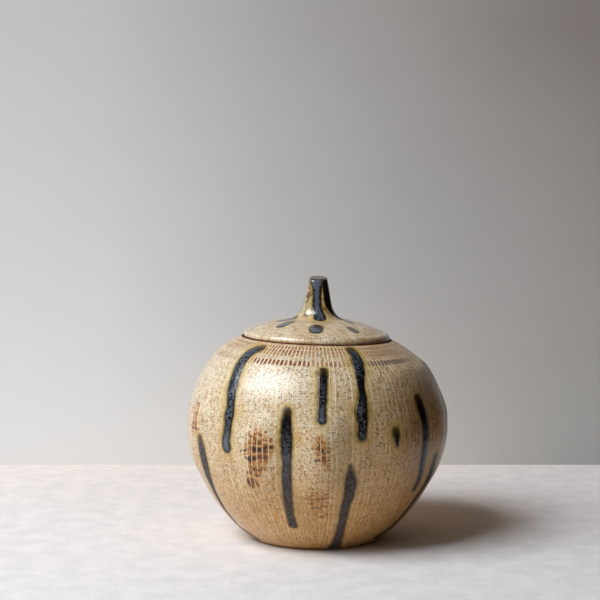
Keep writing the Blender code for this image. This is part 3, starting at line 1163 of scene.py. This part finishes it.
upper_rows = [arc_at(316, down) for down in (348.4, 352.0, 355.4)]
bold_row = arc_at(312, 363.4)
print("rows below the lip, in mm:", [round(row * 1000, 1) for row in (*upper_rows, bold_row)])


# %% Rows of dashes
def row(spot, middle, half_height, wander=0.0016):
    """1 in a level band that wanders a little up and down."""
    graph = spot.graph
    offset = (graph.noise(spot.place, 9, 1) - 0.5) * wander
    away = abs(spot.arc - middle + offset)
    return graph.ease(away, half_height, half_height * 0.5)


def brown_bands(spot):
    """How brown the thin rows and the bold row of the shoulder are, and where the comb cut them."""
    graph = spot.graph
    luck = graph.noise(spot.place, 34, 2)
    tone = graph.noise(spot.place, 300, 2)
    rows = row(spot, upper_rows[0], 0.0020)
    rows = rows.most(row(spot, upper_rows[1], 0.0024) * graph.ease(luck, 0.34, 0.52, 0.5, 1))
    rows = rows.most(row(spot, upper_rows[2], 0.0020) * graph.ease(luck, 0.38, 0.56, 0.4, 1))
    bold = row(spot, bold_row, 0.0032, 0.0018) * graph.ease(luck, 0.36, 0.50, 0.50, 1)
    cut = comb_cut(spot, comb_count, 0.44, comb_sway)
    side = abs(spot.azimuth + math.radians(8))
    worn = graph.ease(side, math.radians(59), math.radians(76))
    kept = 1 - worn * graph.ease(side, math.radians(125), math.radians(105)) * 0.75
    broken = (1 - cut) * kept * graph.ease(tone, 0.3, 0.6, 0.7, 1)
    return rows * broken, bold * broken, (rows + bold).least(1) * cut * kept


# %% [markdown]
# ## The dark glaze itself
#
# On a run the glaze is nearly black where it lies thin at the edge, and a mottled blue-grey where
# it pooled: partly the glaze's own colour, partly painted glints of the window. Half-matte runs get
# a lighter blue-grey along their middle, partly satin glaze and partly a painted sheen on the bead.
# Where a run dried matte it is graphite with a brown edge. Off the run its ash bled into the cream
# in an uneven halo: first a dark edge, then olive, then straw yellow.

# %% Colour of the runs
def run_colour(spot):
    graph = spot.graph
    cloud = graph.noise(spot.place, 480, 4, 0.7)
    pooled = graph.ease(spot.gap, -0.0003, -0.0014)
    # The blue-grey mottling is partly the glaze and partly painted glints of reflected light.
    mottled_glints = graph.ease(cloud, 0.46, 0.54, 0, 0.9) * (1 - spot.black) ** 1.5
    glossy = graph.mix(pooled * mottled_glints, run_black, run_blue_and_glints)
    core = graph.mix(graph.ease(cloud, 0.40, 0.58), *dull_core)
    dull = graph.mix(pooled, dull_edge, core)
    colour = graph.mix(graph.ease(spot.matte, 0.30, 1), glossy, dull)
    satin = graph.ease(spot.matte, 0, 0.40) * graph.ease(spot.matte, 0.9, 0.5)
    # A lighter blue-grey along the middle of half-matte runs: partly satin glaze, partly a painted
    # sheen on the bead's crest.
    centre = graph.ease(spot.gap + cloud * 0.0020, 0, -0.0022)
    colour = graph.mix(satin * centre * 0.9, colour, run_satin_and_sheen)
    thin = graph.ease(spot.along + cloud * 0.004, 0.0060, 0.0022)
    return graph.mix(thin * 0.8, colour, run_thin)


def run_mask(spot):
    """1 on a run, 0 off it. The run's start is thin, so its edge is softer there."""
    graph = spot.graph
    blur = graph.ease(spot.along, 0.009, 0.001, 0.0004, 0.0022) + spot.matte * 0.0006
    return graph.ease(spot.gap, blur, 0 - blur) * spot.outside


def halo(spot, reach):
    """1 at a run's edge, fading to 0 at reach."""
    graph = spot.graph
    uneven = graph.noise(spot.place, 80, 3, 0.6) * 2.4 - 0.30
    patchy = graph.ease(graph.noise(spot.place, 170, 3, 0.6), 0.35, 0.60, 0.55, 1)
    return graph.ease(spot.gap / uneven, reach, 0) * patchy * spot.outside


print("pattern functions ready")


# %% [markdown]
# ## The pot's glaze
#
# The layers go on as they went on the clay. The ground colour is cream above and a darker ochre
# towards the foot. Then come comb lines, brown bands, rust, specks and runs. Roughness and a gentle
# bump follow the same masks, so that lines catch the window's light. The right side gets a mild
# brown tint. That tint is a guess: one photograph can't tell the glaze's colour there from the
# room's warm light.

# %% Colour layers of the pot
def browner_side(spot):
    """1 on the +X side, round azimuth 85 degrees, fading to 0 on the others. It tints only."""
    toward = (spot.azimuth - math.radians(85)).maths("COSINE")
    return spot.graph.ease(toward, 0.06, 0.82)


def pot_colour(spot, light, fine_light):
    graph = spot.graph
    cloud = graph.noise(spot.place, 16, 4, 0.55)
    low = graph.ease(spot.height + (cloud - 0.5) * 0.035, 0.085, 0.030)
    colour = graph.mix(low, cream, ochre)
    shoulder = graph.ease(spot.arc, bold_row + 0.002, 0, 0, 0.6)
    colour = graph.mix(shoulder, colour, shoulder_gold)
    blush = graph.ease(graph.noise(spot.place, 42, 3, 0.6), 0.48, 0.70, 0, 0.4)
    colour = graph.mix(blush, colour, blush_gold)
    field = weave(spot, comb_count * 2, 0.0021)
    tone = graph.noise(spot.place, 520, 4, 0.75) + (field - 0.5) * 0.18
    dapple = graph.ease(tone, 0.46, 0.57, 0, 0.88)
    colour = graph.mix(dapple, colour, dapple_brown)
    colour = graph.mix(rings(spot, 0.0021, 0.9, 140) * 0.40, colour, ring_brown)
    pale = graph.ease(field + cloud * 0.4, 0.85, 1.15, 0, 0.55)
    colour = graph.mix(pale, colour, comb_light)
    colour = graph.mix(fine_light * 0.40, colour, comb_light)
    faded = graph.ease(abs(spot.height - 0.092), 0.012, 0.045, 0.75, 0.95)
    colour = graph.mix(light * faded, colour, comb_light)
    browned = browner_side(spot) * graph.ease(spot.height, 0.030, 0.075)
    return graph.mix(browned, colour, side_tint, "MULTIPLY")


def dashes(spot):
    """A noise stretched round the jar, so that its islands are short level dashes."""
    graph = spot.graph
    around_clay = spot.azimuth * belly_radius
    stretched = graph.node("ShaderNodeCombineXYZ", None, {0: around_clay * 90, 1: spot.arc * 380})
    return graph.noise(stretched, 1, 3, 0.6)


def pot_iron(spot, colour, rows, bold, cuts):
    graph = spot.graph
    colour = graph.mix(cuts * 0.85, colour, comb_light)
    colour = graph.mix(rows, colour, band_orange)
    colour = graph.mix(bold, colour, band_brown)
    # The bold row is darker round azimuth 40 degrees, on the front right.
    bold_darkening = graph.ease(abs(spot.azimuth - math.radians(40)), math.radians(30), math.radians(14))
    colour = graph.mix(bold * bold_darkening * 0.95, colour, band_dark)
    cut = 1 - comb_cut(spot, comb_count, 0.34, comb_sway) * 0.85
    streak = dashes(spot)
    flecks = graph.noise(spot.place, 300, 3, 0.65)
    wash = graph.ease(spot.patch * 0.8 + flecks * 0.7, 0.60, 1.10) * 0.75
    colour = graph.mix(wash * cut, colour, rust_wash)
    rusty = graph.ease(spot.patch * 0.22 + streak * 0.75 + flecks * 0.55, 0.80, 0.88)
    colour = graph.mix(rusty * cut * graph.ease(spot.patch, 0.05, 0.3), colour, rust)
    darkest = graph.ease(spot.patch * 0.22 + streak * 0.95 + flecks * 0.22, 0.82, 0.89)
    darkest = darkest * graph.ease(spot.patch, 0.15, 0.4) * 0.6
    ragged = graph.ease(spot.stroke + flecks * 0.8, 0.70, 0.98)
    colour = graph.mix(darkest.most(ragged * 0.9) * cut, colour, rust_dark)
    colour = graph.mix(specks(spot, 0.0013, 0.00042) * 0.85, colour, fine_speck_brown)
    return graph.mix(specks(spot, 0.0018, 0.00066), colour, speck_brown)


def add_runs(spot, colour, reach=0.0042):
    graph = spot.graph
    colour = graph.mix(halo(spot, reach * 2.6) * 0.68 * (1 - spot.matte * 0.6), colour, straw)
    colour = graph.mix(halo(spot, reach) * 0.92 * (1 - spot.matte * 0.75), colour, olive)
    edge = halo(spot, reach * 0.52) * (1 - spot.matte * 0.4)
    colour = graph.mix(edge * 0.90, colour, halo_edge)
    return graph.mix(run_mask(spot), colour, run_colour(spot))


# %% The pot's material
glaze_ior = 1.5
dry_roughness = 0.85
pot_bump = 0.25 * mm
lid_bump = 0.20 * mm


def new_material(name):
    material = bpy.data.materials.new(name)
    material.use_nodes = True
    material.node_tree.nodes.clear()
    return material, Graph(material.node_tree)


def finish_material(graph, colour, roughness, coat, coat_roughness, height, bump):
    """The closing nodes of a ceramic: colour, gloss and a bump given in metres."""
    sockets = {"Strength": 1.0, "Distance": bump, "Height": height}
    normal = graph.node("ShaderNodeBump", None, sockets)
    sockets = {"Base Color": colour, "Roughness": roughness, "Normal": normal, "IOR": glaze_ior,
               "Coat Weight": coat, "Coat Roughness": coat_roughness}
    shader = graph.node("ShaderNodeBsdfPrincipled", None, sockets)
    graph.node("ShaderNodeOutputMaterial", None, {0: shader}, None)


def roughness_of(spot, on_run, skin, run_skin):
    """The skin's roughness off the runs, another on them, and a dry one on bare clay."""
    fired = skin * (1 - on_run) + run_skin * on_run
    return fired * spot.glazed + (1 - spot.glazed) * dry_roughness


def clay_colour(spot):
    """Bare stoneware: toasted, speckled and dry."""
    graph = spot.graph
    cloud = graph.noise(spot.place, 60, 4, 0.6)
    colour = graph.mix(graph.ease(cloud, 0.35, 0.65), *bare_clay)
    return graph.mix(specks(spot, 0.0026, 0.0006) * 0.8, colour, speck_brown)


def surface_height(spot, light, fine_light, line_depth):
    """Relief of the glaze, as shares of the bump distance."""
    graph = spot.graph
    skin = graph.noise(spot.place, 320, 2) * 0.25 + graph.noise(spot.place, 45, 2) * 0.35
    lines = light * line_depth + fine_light * line_depth * 0.5
    pebbly = graph.noise(spot.place, 400, 2) * 1.6
    pebbly = pebbly * (1 - spot.matte * 0.7) * (1 - spot.black * 0.5)
    on_run = run_mask(spot)
    return skin + lines * (1 - on_run) + pebbly * on_run + on_run * 0.6


pot_glaze, graph = new_material("pot_glaze_fired")
spot = Spot(graph)
light = comb_lines(spot, comb_count, 0.34, comb_sway, 1.0)
fine_light = comb_lines(spot, comb_count * 2, 0.5, comb_sway * 2, 1.0)
rows, bold, cuts = brown_bands(spot)
colour = pot_iron(spot, pot_colour(spot, light, fine_light), rows, bold, cuts)
colour = add_runs(spot, colour)
colour = graph.mix(spot.glazed, clay_colour(spot), colour)
on_run = run_mask(spot)
iron = (rows + bold).most(spot.stroke).least(1)
skin = graph.noise(spot.place, 30, 3) * 0.16 + 0.40 + spot.patch * 0.10 + iron * 0.30
roughness = roughness_of(spot, on_run, skin, spot.matte * 0.42 + 0.23)
coat = (1 - on_run) * spot.glazed * (1 - iron * 0.9) * 0.8
height = surface_height(spot, light, fine_light, 0.9)
finish_material(graph, colour, roughness, coat, 0.28, height, pot_bump)
print("pot glaze:", len(pot_glaze.node_tree.nodes), "nodes")

# %% [markdown]
# ## The lid's glaze
#
# The lid carries the same glaze. On the dome the comb lines and the wheel's rings cross like a
# weave. The stem is a darker olive brown, perhaps because wet fingers left little ash there, and
# a brown line marks the lower edge of the rim, as where glaze is wiped away.

# %% The lid's material
def lid_colour(spot, light, fine_light, stem):
    graph = spot.graph
    cloud = graph.noise(spot.place, 40, 3, 0.55)
    colour = graph.mix(graph.ease(cloud, 0.35, 0.70), cream, lid_tan)
    colour = graph.mix(browner_side(spot) * 0.6, colour, side_tint, "MULTIPLY")
    field = weave(spot, comb_count, 0.0040)
    tone = graph.noise(spot.place, 260, 4, 0.75) + (field - 0.5) * 0.16
    colour = graph.mix(graph.ease(tone, 0.47, 0.59, 0, 0.80), colour, lid_dapple)
    banded = graph.ease(graph.noise(spot.place, 26, 2), 0.36, 0.56, 0.70, 1)
    cut = 1 - comb_cut(spot, comb_count, 0.50, comb_sway)
    colour = graph.mix(rings(spot, 0.0046, 0.95, 110) * banded * cut, colour, lid_ring_brown)
    colour = graph.mix(fine_light * 0.45, colour, comb_light)
    colour = graph.mix(light * 0.55, colour, comb_light)
    colour = graph.mix(graph.ease(stem, -0.12, 0.05) * 0.5, colour, stem_gold)
    streaks = graph.noise(spot.place, 210, 3, 0.65)
    stem_glaze = graph.mix(graph.ease(streaks + stem * 0.20, 0.56, 0.68), *stem_streaks)
    colour = graph.mix(graph.ease(stem + (streaks - 0.5) * 0.2, 0.02, 0.18), colour, stem_glaze)
    colour = graph.mix(graph.ease(stem + streaks * 0.10, 0.84, 0.94), colour, stem_top_black)
    return graph.mix(specks(spot, 0.0022, 0.00062) * 0.9, colour, speck_brown)


def rim_line(spot, colour):
    """The toasted line along the lower edge of the rim, whose arc starts at 0 there."""
    graph = spot.graph
    uneven = graph.noise(spot.place, 50, 2) * 0.0014
    toasted = graph.ease(abs(spot.arc) - uneven, 0.0028, 0.0010)
    return graph.mix(toasted * 0.95, colour, rim_brown)


lid_glaze, graph = new_material("lid_glaze_fired")
spot = Spot(graph)
stem = graph.attribute("stem")
light = comb_lines(spot, comb_count, 0.55, comb_sway, 0.9)
fine_light = comb_lines(spot, comb_count * 2, 0.9, comb_sway * 2, 0.9)
colour = rim_line(spot, lid_colour(spot, light, fine_light, stem))
colour = add_runs(spot, colour, 0.0018)
colour = graph.mix(spot.glazed, clay_colour(spot), colour)
on_run = run_mask(spot)
skin = graph.noise(spot.place, 30, 3) * 0.16 + 0.34 - graph.ease(stem, 0, 0.2) * 0.16
roughness = roughness_of(spot, on_run, skin, spot.matte * 0.2 + 0.16)
coat = spot.glazed * 0.8
height = surface_height(spot, light, fine_light, 0.4)
finish_material(graph, colour, roughness, coat, 0.17, height, lid_bump)
print("lid glaze:", len(lid_glaze.node_tree.nodes), "nodes")


# %% [markdown]
# ## Making the two pieces
#
# Each line is turned, then glazed. The result is copied into a plain mesh, and the line and the
# guides are thrown away, because the finished pieces are meshes with stored numbers.

# %% From trees to pieces
def settled(line, name):
    """A plain mesh object of what an object's modifiers make of it."""
    evaluated = line.evaluated_get(bpy.context.evaluated_depsgraph_get())
    mesh = bpy.data.meshes.new_from_object(evaluated)
    mesh.name = name
    piece = linked(name, mesh)
    line.modifiers.clear()
    bpy.data.objects.remove(line)
    triangles = sum(len(face.vertices) - 2 for face in mesh.polygons)
    print(name, triangles, "triangles")
    return piece


glaze_bead = 0.35 * mm
glaze_sink = 0.4 * mm
pot_edge_wobble = 1.4 * mm
lid_edge_wobble = 0.6 * mm
pot_sides = 400
lid_sides = 360

pot_sizes = {"Sides": pot_sides, "Push": bulge_push, "Lean": lean_slope}
lid_sizes = {
    "Sides": lid_sides,
    "Ridge": stem_ridge_share,
    "Cut": math.tan(math.radians(stem_top_tilt)),
    "Lean": lean_slope,
}
pot_marks = {
    "Runs": pot_run_guide,
    "Patches": patch_guide,
    "Strokes": stroke_guide,
    "Bead": glaze_bead,
    "Sink": glaze_sink,
    "Edge Wobble": pot_edge_wobble,
}
lid_marks = {**pot_marks, "Runs": lid_run_guide, "Edge Wobble": lid_edge_wobble}
add_form(pot_line, pot_tree(pot_glaze), pot_sizes)
add_form(pot_line, glazing_tree("glazed_pot", pot_glaze), pot_marks)
add_form(lid_line, lid_tree(lid_glaze), lid_sizes)
add_form(lid_line, glazing_tree("glazed_lid", lid_glaze), lid_marks)
glazed_pot = settled(pot_line, "glazed_pot")
glazed_lid = settled(lid_line, "glazed_lid")
for guide in (pot_run_guide, lid_run_guide, patch_guide, stroke_guide):
    bpy.data.objects.remove(guide)

# %% What each piece stands for
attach(glazed_pot, "pot")
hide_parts("pot")
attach(glazed_lid, "lid")
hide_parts("lid")
print("pieces:", glazed_pot.name, glazed_lid.name)


# %% [markdown]
# ## The studio
#
# The jar stands on a pale table in front of a pale wall. One large window at the upper left lights
# it, with a weak lamp for the rest of the room. The wall's paint holds painted shade: it darkens to
# the right and upwards, as the window's light falls off. A camera behind the wall looks through it,
# so that the jar can be seen from the back too. The camera sees the pale paint; what the sheets
# throw back on the jar is darker and warmer than that paint, like a dim wooden room, and away from
# the jar it is nearly nothing.

# %% Table and wall
wall_distance = 0.28
studio_reach = 3.0
wall_top = 2.0
far_paint = rgb(44, 36, 30)
table_paints = (rgb(218, 217, 218), rgb(232, 230, 230))
table_bounce = (rgb(228, 198, 156), rgb(64, 46, 30))
# The wall's paints are light low on the left and darker to the right and upwards: painted shade of
# the window's light falling off.
low_shaded_wall_colours = (rgb(226, 237, 249), rgb(209, 210, 208))
high_shaded_wall_colours = (rgb(193, 196, 198), rgb(152, 145, 141))
wall_bounce_tint = rgb(246, 208, 172)


def sheet(name, profile):
    """A wide sheet from a list of (y, z), going back and then up."""
    mesh = bpy.data.meshes.new(name)
    corners = [(side * studio_reach, y, z) for y, z in profile for side in (-1, 1)]
    faces = [(2 * i, 2 * i + 1, 2 * i + 3, 2 * i + 2) for i in range(len(profile) - 1)]
    mesh.from_pydata(corners, [], faces)
    mesh.shade_smooth()
    piece = linked(name, mesh)
    return piece


table = sheet("table", [(-studio_reach, 0), (wall_distance, 0)])
wall = sheet("wall", [(wall_distance, 0), (wall_distance, wall_top)])


def painted(graph, seen, gathered, near):
    """The seen paint for camera and mirrors, the gathered one for soft light near the jar."""
    rays = graph.node("ShaderNodeLightPath", output=None)
    colour = graph.mix(Value(graph, rays.outputs["Is Glossy Ray"]), gathered, seen)
    colour = graph.mix(near, far_paint, colour)
    return graph.mix(Value(graph, rays.outputs["Is Camera Ray"]), colour, seen)


table_paint, graph = new_material("table_paint")
place = graph.node("ShaderNodeTexCoord", output="Object")
grain = graph.noise(place, 55, 3, 0.55) * 0.5 + graph.noise(place, 420, 3, 0.7) * 0.5
colour = graph.mix(graph.ease(grain, 0.38, 0.62), *table_paints)
across, _, _ = graph.parts(place)
gathered = graph.mix(graph.ramp(across, 0.04, 0.28), *table_bounce)
away = graph.node("ShaderNodeVectorMath", {"operation": "LENGTH"}, {0: place}, "Value")
colour = painted(graph, colour, gathered, graph.ease(away, 0.80, 0.30))
shader = graph.node("ShaderNodeBsdfPrincipled", None, {"Base Color": colour, "Roughness": 0.8})
graph.node("ShaderNodeOutputMaterial", None, {0: shader}, None)
table.data.materials.append(table_paint)

wall_paint_and_shade, graph = new_material("wall_paint_and_shade")
place = graph.node("ShaderNodeTexCoord", output="Object")
across, _, up = graph.parts(place)
cloud = graph.noise(place, 3.5, 4, 0.6) - 0.5
# Painted shade: the paint darkens to the right, away from the window, and upwards.
shade_to_right = graph.ramp(across + cloud * 0.08, -0.20, 0.26)
shade_to_top = graph.ramp(up + cloud * 0.08, 0.04, 0.42)
low_shaded_paint = graph.mix(shade_to_right, *low_shaded_wall_colours)
high_shaded_paint = graph.mix(shade_to_right, *high_shaded_wall_colours)
colour = graph.mix(shade_to_top, low_shaded_paint, high_shaded_paint)
gathered = graph.mix(1.0, colour, wall_bounce_tint, "MULTIPLY")
near = graph.ease(across, 0.60, 0.26) * graph.ease(up, 0.80, 0.40)
colour = painted(graph, colour, gathered, near)
shader = graph.node("ShaderNodeBsdfPrincipled", None, {"Base Color": colour, "Roughness": 0.9})
see_through = graph.node("ShaderNodeBsdfTransparent")
behind = graph.node("ShaderNodeNewGeometry", output="Backfacing")
shader = graph.node("ShaderNodeMixShader", None, {0: behind, 1: shader, 2: see_through})
graph.node("ShaderNodeOutputMaterial", None, {0: shader}, None)
wall.data.materials.append(wall_paint_and_shade)
print("table and wall ready")


# %% [markdown]
# ## Light
#
# The window is a large area lamp at the upper left, a little in front of the jar. Its place is
# worked out from the highlight on the belly: the normal there sends the camera's ray up to the
# left, 60 degrees round and 47 degrees up, and the shadow's soft edges give its width. A weak lamp
# stands for the rest of the room. It isn't mirrored, because a real room shows no second window.

# %% Window and world
lamp_aim = (0, 0, 0.1)
window_place = (-1.128, -0.638, 1.49)
window_size = (1.25, 1.00)
window_watts = 47
window_colour = (0.93, 0.96, 1)
room_place = (-0.95, -1.05, 0.65)
room_size = (1.2, 1.2)
room_watts = 2.6
room_colour = (1, 0.94, 0.86)
air_strength = 0.035


def panel(name, place, size, watts, colour, mirrored=True):
    """A rectangular lamp that looks at the jar."""
    data = bpy.data.lights.new(name, "AREA")
    data.shape = "RECTANGLE"
    data.size, data.size_y = size
    data.energy = watts
    data.color = colour
    lamp = linked(name, data)
    lamp.location = place
    lamp.rotation_euler = (Vector(lamp_aim) - Vector(place)).to_track_quat("-Z", "Y").to_euler()
    lamp.visible_glossy = mirrored


panel("window", window_place, window_size, window_watts, window_colour)
panel("room", room_place, room_size, room_watts, room_colour, mirrored=False)

world = bpy.data.worlds.new("studio_air")
world.use_nodes = True
bpy.context.scene.world = world
graph = Graph(world.node_tree)
world.node_tree.nodes.clear()
rays = graph.node("ShaderNodeLightPath", output=None)
shown = Value(graph, rays.outputs["Is Camera Ray"])
pale = graph.node("ShaderNodeBackground", None, {0: rgb(212, 210, 207), 1: 1.0})
air = graph.node("ShaderNodeBackground", None, {0: rgb(255, 206, 164), 1: air_strength})
sky = graph.node("ShaderNodeMixShader", None, {0: shown, 1: air, 2: pale})
graph.node("ShaderNodeOutputWorld", None, {0: sky}, None)
bpy.context.scene.view_settings.view_transform = "Standard"
print("lamps ready")
